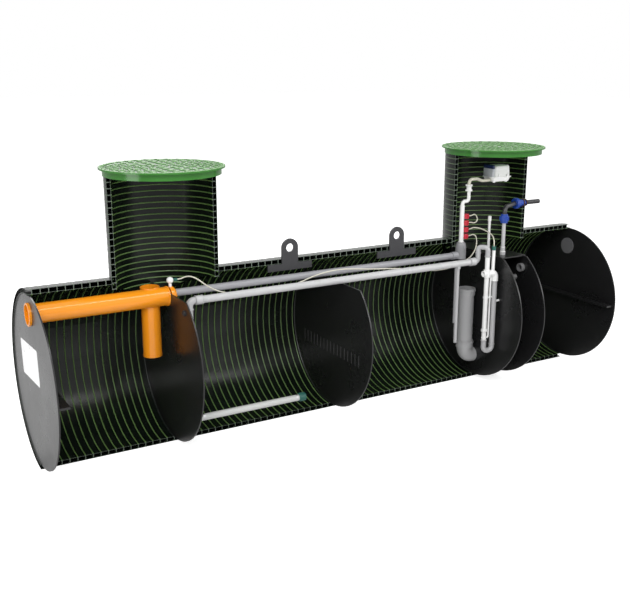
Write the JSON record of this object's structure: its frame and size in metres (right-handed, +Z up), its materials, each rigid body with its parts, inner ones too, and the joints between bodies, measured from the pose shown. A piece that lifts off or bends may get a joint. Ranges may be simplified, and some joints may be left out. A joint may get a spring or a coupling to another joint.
{
  "type": "sectioned packaged sewage treatment plant",
  "caption": "Horizontal round sewage treatment tank shown in section, with two covered risers, bulkheads, inlet pipe, air manifold, diffuser and airlift.",
  "frame": {"origin": "on the lowest line of the tank's outside, at the inlet end, in the section plane; this is the bed mount", "axes": "+X from the inlet end to the outlet end along the tank, +Y to the back, away from the open side of the section, +Z up"},
  "size_m": [4.029, 1.0218, 1.669],
  "materials": {
    "wound_wall": "dark green-black polyethylene, extruded, with a green weld line at each turn",
    "cover_green": "moulded green composite with a raised anti-slip pattern",
    "plate_black": "black polyethylene sheet, smooth and slightly glossy",
    "lug_grey": "dark grey plate",
    "drain_orange": "orange drain pipe, smooth",
    "blank_grey": "grey plastic",
    "pipe_grey": "light grey pipe, satin",
    "pipe_white": "white pipe and fittings",
    "membrane": "pale diffuser membrane on a tube",
    "fitting_teal": "teal plastic fitting",
    "valve_red": "red plastic valve bodies",
    "blower_white": "white moulded housing",
    "filter_grey": "grey ribbed filter body",
    "cap_blue": "dark blue moulded cap",
    "fitting_blue": "blue compression fittings",
    "poly_black": "black polyethylene pipe",
    "hose_cream": "cream flexible air hose"
  },
  "bodies": {
    "root": {"air_drop_pipe": "pipe_grey", "air_valves": "valve_red", "airlift_air_tube": "pipe_white", "airlift_clips": "pipe_white", "airlift_hose": "hose_cream", "airlift_riser": "pipe_white", "airlift_tee": "pipe_white", "blower_base": "blower_white", "blower_bracket": "lug_grey", "blower_filter": "filter_grey", "blower_filter_cap": "cap_blue", "blower_hood": "blower_white", "blower_hose": "hose_cream", "bulkhead_1": "plate_black", "chamber_cover": "plate_black", "chamber_wall_a": "plate_black", "chamber_wall_b": "plate_black", "cover_1": "cover_green", "cover_2": "cover_green", "crossover_bend": "pipe_grey", "diffuser_cap": "fitting_teal", "diffuser_tube": "membrane", "end_plate_ribs": "plate_black", "far_air_pipe": "pipe_grey", "hose_tails": "fitting_teal", "inlet_drop_pipe": "drain_orange", "inlet_end_cap": "drain_orange", "inlet_end_plate": "plate_black", "inlet_pipe": "drain_orange", "inlet_socket": "drain_orange", "lifting_lugs": "lug_grey", "long_hose": "hose_cream", "loop_hose": "hose_cream", "manifold_cup": "pipe_grey", "manifold_pipe": "pipe_white", "near_air_pipe": "pipe_grey", "outflow_fittings": "fitting_blue", "outflow_pipe": "pipe_grey", "outlet_blank": "blank_grey", "outlet_end_plate": "plate_black", "poly_pipe": "poly_black", "return_pipe": "pipe_grey", "ring_fitting": "pipe_white", "riser_1_wall_1": "wound_wall", "riser_1_wall_2": "wound_wall", "riser_1_wall_3": "wound_wall", "riser_2_wall_1": "wound_wall", "riser_2_wall_2": "wound_wall", "riser_2_wall_3": "wound_wall", "sample_pipe": "pipe_white", "slotted_baffle": "plate_black", "tank_wall_1": "wound_wall", "tank_wall_2": "wound_wall", "tank_wall_3": "wound_wall", "tank_wall_4": "wound_wall", "tank_wall_5": "wound_wall", "transfer_bend": "pipe_grey", "transfer_pipe": "pipe_grey", "vent_pipe": "pipe_white", "wall_sockets": "pipe_grey"}
  },
  "joints": []
}
